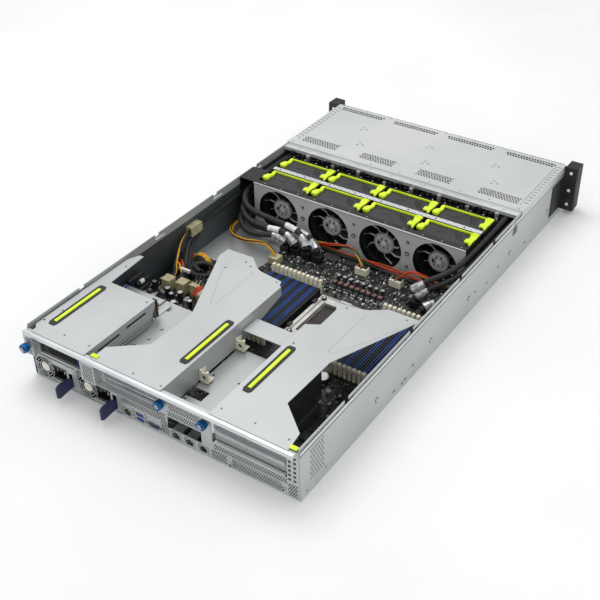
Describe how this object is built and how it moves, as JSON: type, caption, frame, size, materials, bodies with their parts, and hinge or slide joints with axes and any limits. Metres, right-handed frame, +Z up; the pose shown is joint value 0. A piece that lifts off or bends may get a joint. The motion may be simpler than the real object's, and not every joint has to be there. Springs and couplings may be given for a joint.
{
  "type": "2u rack server",
  "caption": "Rack server for a two-unit space, top cover off, with drive bays at the front, two rows of fans, lift-out card brackets and hot-swap power supplies",
  "frame": {"origin": "middle of the underside of the chassis", "axes": "+Z up, +Y towards the rear panel, +X towards the power supply side"},
  "size_m": [0.4826, 0.84, 0.0862],
  "materials": {
    "zinc_steel": "satin",
    "grey_steel": "satin",
    "black_steel": "matte",
    "green_board": "satin",
    "black_board": "satin",
    "drive_shell": "satin",
    "black_plastic": "matte",
    "blue_screw": "satin",
    "port_steel": "satin",
    "psu_steel": "satin",
    "navy_plastic": "satin",
    "blue_plastic": "satin",
    "ivory_plastic": "satin",
    "socket_steel": "satin",
    "chip_black": "satin",
    "cable_sleeve": "matte"
  },
  "bodies": {
    "chassis": {"chassis_base": "zinc_steel", "front_cover": "zinc_steel", "drive_cage": "zinc_steel", "rear_panel": "zinc_steel", "psu_cage": "zinc_steel", "slot_tray": "zinc_steel", "fan_wall": "grey_steel", "fan_cage": "black_steel", "rack_ears": "black_steel", "drive_backplane": "green_board", "motherboard": "black_board", "power_board": "black_board", "io_ports": "port_steel", "dimm_sockets": "blue_plastic", "connectors": "ivory_plastic", "cpu_socket": "socket_steel", "board_parts": "chip_black", "signal_cables": "cable_sleeve"},
    "drive_1": {"drive_carrier_1": "drive_shell"},
    "drive_2": {"drive_carrier_2": "drive_shell"},
    "drive_3": {"drive_carrier_3": "drive_shell"},
    "drive_4": {"drive_carrier_4": "drive_shell"},
    "drive_5": {"drive_carrier_5": "drive_shell"},
    "drive_6": {"drive_carrier_6": "drive_shell"},
    "drive_7": {"drive_carrier_7": "drive_shell"},
    "drive_8": {"drive_carrier_8": "drive_shell"},
    "drive_9": {"drive_carrier_9": "drive_shell"},
    "drive_10": {"drive_carrier_10": "drive_shell"},
    "drive_11": {"drive_carrier_11": "drive_shell"},
    "drive_12": {"drive_carrier_12": "drive_shell"},
    "fan_1": {"fan_module_1": "black_plastic"},
    "rotor_1": {"fan_rotor_1": "black_plastic"},
    "fan_2": {"fan_module_2": "black_plastic"},
    "rotor_2": {"fan_rotor_2": "black_plastic"},
    "fan_3": {"fan_module_3": "black_plastic"},
    "rotor_3": {"fan_rotor_3": "black_plastic"},
    "fan_4": {"fan_module_4": "black_plastic"},
    "rotor_4": {"fan_rotor_4": "black_plastic"},
    "fan_5": {"fan_module_5": "black_plastic"},
    "rotor_5": {"fan_rotor_5": "black_plastic"},
    "fan_6": {"fan_module_6": "black_plastic"},
    "rotor_6": {"fan_rotor_6": "black_plastic"},
    "fan_7": {"fan_module_7": "black_plastic"},
    "rotor_7": {"fan_rotor_7": "black_plastic"},
    "fan_8": {"fan_module_8": "black_plastic"},
    "rotor_8": {"fan_rotor_8": "black_plastic"},
    "supply_1": {"psu_1": "psu_steel"},
    "supply_tab_1": {"psu_latch_1": "navy_plastic"},
    "supply_2": {"psu_2": "psu_steel"},
    "supply_tab_2": {"psu_latch_2": "navy_plastic"},
    "bracket_left": {"riser_left": "zinc_steel"},
    "bracket_center": {"riser_center": "zinc_steel"},
    "bracket_right": {"riser_right": "zinc_steel"},
    "rear_drive": {"rear_drive_carrier": "drive_shell"},
    "screw_1": {"thumbscrew_1": "blue_screw"},
    "screw_2": {"thumbscrew_2": "blue_screw"},
    "screw_3": {"thumbscrew_3": "blue_screw"},
    "button": {"power_button": "black_plastic"},
    "memory_latches_front": {"dimm_latches_front": "ivory_plastic"},
    "memory_latches_rear": {"dimm_latches_rear": "ivory_plastic"}
  },
  "joints": [
    {"name": "drive_slide_1", "type": "slide", "parent": "chassis", "child": "drive_1", "axis": [0, -1, 0], "range_m": [0, 0.2]},
    {"name": "drive_slide_2", "type": "slide", "parent": "chassis", "child": "drive_2", "axis": [0, -1, 0], "range_m": [0, 0.2]},
    {"name": "drive_slide_3", "type": "slide", "parent": "chassis", "child": "drive_3", "axis": [0, -1, 0], "range_m": [0, 0.2]},
    {"name": "drive_slide_4", "type": "slide", "parent": "chassis", "child": "drive_4", "axis": [0, -1, 0], "range_m": [0, 0.2]},
    {"name": "drive_slide_5", "type": "slide", "parent": "chassis", "child": "drive_5", "axis": [0, -1, 0], "range_m": [0, 0.2]},
    {"name": "drive_slide_6", "type": "slide", "parent": "chassis", "child": "drive_6", "axis": [0, -1, 0], "range_m": [0, 0.2]},
    {"name": "drive_slide_7", "type": "slide", "parent": "chassis", "child": "drive_7", "axis": [0, -1, 0], "range_m": [0, 0.2]},
    {"name": "drive_slide_8", "type": "slide", "parent": "chassis", "child": "drive_8", "axis": [0, -1, 0], "range_m": [0, 0.2]},
    {"name": "drive_slide_9", "type": "slide", "parent": "chassis", "child": "drive_9", "axis": [0, -1, 0], "range_m": [0, 0.2]},
    {"name": "drive_slide_10", "type": "slide", "parent": "chassis", "child": "drive_10", "axis": [0, -1, 0], "range_m": [0, 0.2]},
    {"name": "drive_slide_11", "type": "slide", "parent": "chassis", "child": "drive_11", "axis": [0, -1, 0], "range_m": [0, 0.2]},
    {"name": "drive_slide_12", "type": "slide", "parent": "chassis", "child": "drive_12", "axis": [0, -1, 0], "range_m": [0, 0.2]},
    {"name": "fan_lift_1", "type": "slide", "parent": "chassis", "child": "fan_1", "axis": [0, 0, 1], "range_m": [0, 0.092]},
    {"name": "rotor_spin_1", "type": "hinge", "parent": "fan_1", "child": "rotor_1", "pos_m": [0.139, -0.1547, 0.0415], "axis": [0, 1, 0], "continuous": true},
    {"name": "fan_lift_2", "type": "slide", "parent": "chassis", "child": "fan_2", "axis": [0, 0, 1], "range_m": [0, 0.092]},
    {"name": "rotor_spin_2", "type": "hinge", "parent": "fan_2", "child": "rotor_2", "pos_m": [0.044, -0.1547, 0.0415], "axis": [0, 1, 0], "continuous": true},
    {"name": "fan_lift_3", "type": "slide", "parent": "chassis", "child": "fan_3", "axis": [0, 0, 1], "range_m": [0, 0.092]},
    {"name": "rotor_spin_3", "type": "hinge", "parent": "fan_3", "child": "rotor_3", "pos_m": [-0.051, -0.1547, 0.0415], "axis": [0, 1, 0], "continuous": true},
    {"name": "fan_lift_4", "type": "slide", "parent": "chassis", "child": "fan_4", "axis": [0, 0, 1], "range_m": [0, 0.092]},
    {"name": "rotor_spin_4", "type": "hinge", "parent": "fan_4", "child": "rotor_4", "pos_m": [-0.146, -0.1547, 0.0415], "axis": [0, 1, 0], "continuous": true},
    {"name": "fan_lift_5", "type": "slide", "parent": "chassis", "child": "fan_5", "axis": [0, 0, 1], "range_m": [0, 0.092]},
    {"name": "rotor_spin_5", "type": "hinge", "parent": "fan_5", "child": "rotor_5", "pos_m": [0.139, -0.1046, 0.0415], "axis": [0, 1, 0], "continuous": true},
    {"name": "fan_lift_6", "type": "slide", "parent": "chassis", "child": "fan_6", "axis": [0, 0, 1], "range_m": [0, 0.092]},
    {"name": "rotor_spin_6", "type": "hinge", "parent": "fan_6", "child": "rotor_6", "pos_m": [0.044, -0.1046, 0.0415], "axis": [0, 1, 0], "continuous": true},
    {"name": "fan_lift_7", "type": "slide", "parent": "chassis", "child": "fan_7", "axis": [0, 0, 1], "range_m": [0, 0.092]},
    {"name": "rotor_spin_7", "type": "hinge", "parent": "fan_7", "child": "rotor_7", "pos_m": [-0.051, -0.1046, 0.0415], "axis": [0, 1, 0], "continuous": true},
    {"name": "fan_lift_8", "type": "slide", "parent": "chassis", "child": "fan_8", "axis": [0, 0, 1], "range_m": [0, 0.092]},
    {"name": "rotor_spin_8", "type": "hinge", "parent": "fan_8", "child": "rotor_8", "pos_m": [-0.146, -0.1046, 0.0415], "axis": [0, 1, 0], "continuous": true},
    {"name": "supply_slide_1", "type": "slide", "parent": "chassis", "child": "supply_1", "axis": [0, 1, 0], "range_m": [0, 0.19]},
    {"name": "supply_tab_1_squeeze", "type": "hinge", "parent": "supply_1", "child": "supply_tab_1", "pos_m": [0.1488, 0.3903, 0.0175], "axis": [0, 0, -1], "range_deg": [0, 10], "stiffness_Nm_per_rad": 0.05},
    {"name": "supply_slide_2", "type": "slide", "parent": "chassis", "child": "supply_2", "axis": [0, 1, 0], "range_m": [0, 0.19]},
    {"name": "supply_tab_2_squeeze", "type": "hinge", "parent": "supply_2", "child": "supply_tab_2", "pos_m": [0.0708, 0.3903, 0.0175], "axis": [0, 0, -1], "range_deg": [0, 10], "stiffness_Nm_per_rad": 0.05},
    {"name": "bracket_left_lift", "type": "slide", "parent": "chassis", "child": "bracket_left", "axis": [0, 0, 1], "range_m": [0, 0.095]},
    {"name": "bracket_center_lift", "type": "slide", "parent": "chassis", "child": "bracket_center", "axis": [0, 0, 1], "range_m": [0, 0.095]},
    {"name": "bracket_right_lift", "type": "slide", "parent": "chassis", "child": "bracket_right", "axis": [0, 0, 1], "range_m": [0, 0.095]},
    {"name": "rear_drive_slide", "type": "slide", "parent": "bracket_left", "child": "rear_drive", "axis": [0, 1, 0], "range_m": [0, 0.11]},
    {"name": "screw_turn_1", "type": "hinge", "parent": "chassis", "child": "screw_1", "pos_m": [0.21, 0.41, 0.059], "axis": [0, -1, 0], "range_deg": [0, 1440]},
    {"name": "screw_turn_2", "type": "hinge", "parent": "chassis", "child": "screw_2", "pos_m": [-0.013, 0.4, 0.059], "axis": [0, -1, 0], "range_deg": [0, 1440]},
    {"name": "screw_turn_3", "type": "hinge", "parent": "chassis", "child": "screw_3", "pos_m": [-0.081, 0.4, 0.059], "axis": [0, -1, 0], "range_deg": [0, 1440]},
    {"name": "button_press", "type": "slide", "parent": "chassis", "child": "button", "axis": [0, 1, 0], "range_m": [0, 0.001], "stiffness_N_per_m": 100},
    {"name": "memory_latches_front_open", "type": "hinge", "parent": "chassis", "child": "memory_latches_front", "pos_m": [-0.0715, 0.0375, 0.0099], "axis": [1, 0, 0], "range_deg": [0, 30]},
    {"name": "memory_latches_rear_open", "type": "hinge", "parent": "chassis", "child": "memory_latches_rear", "pos_m": [-0.0715, 0.1875, 0.0099], "axis": [-1, 0, 0], "range_deg": [0, 30]}
  ]
}
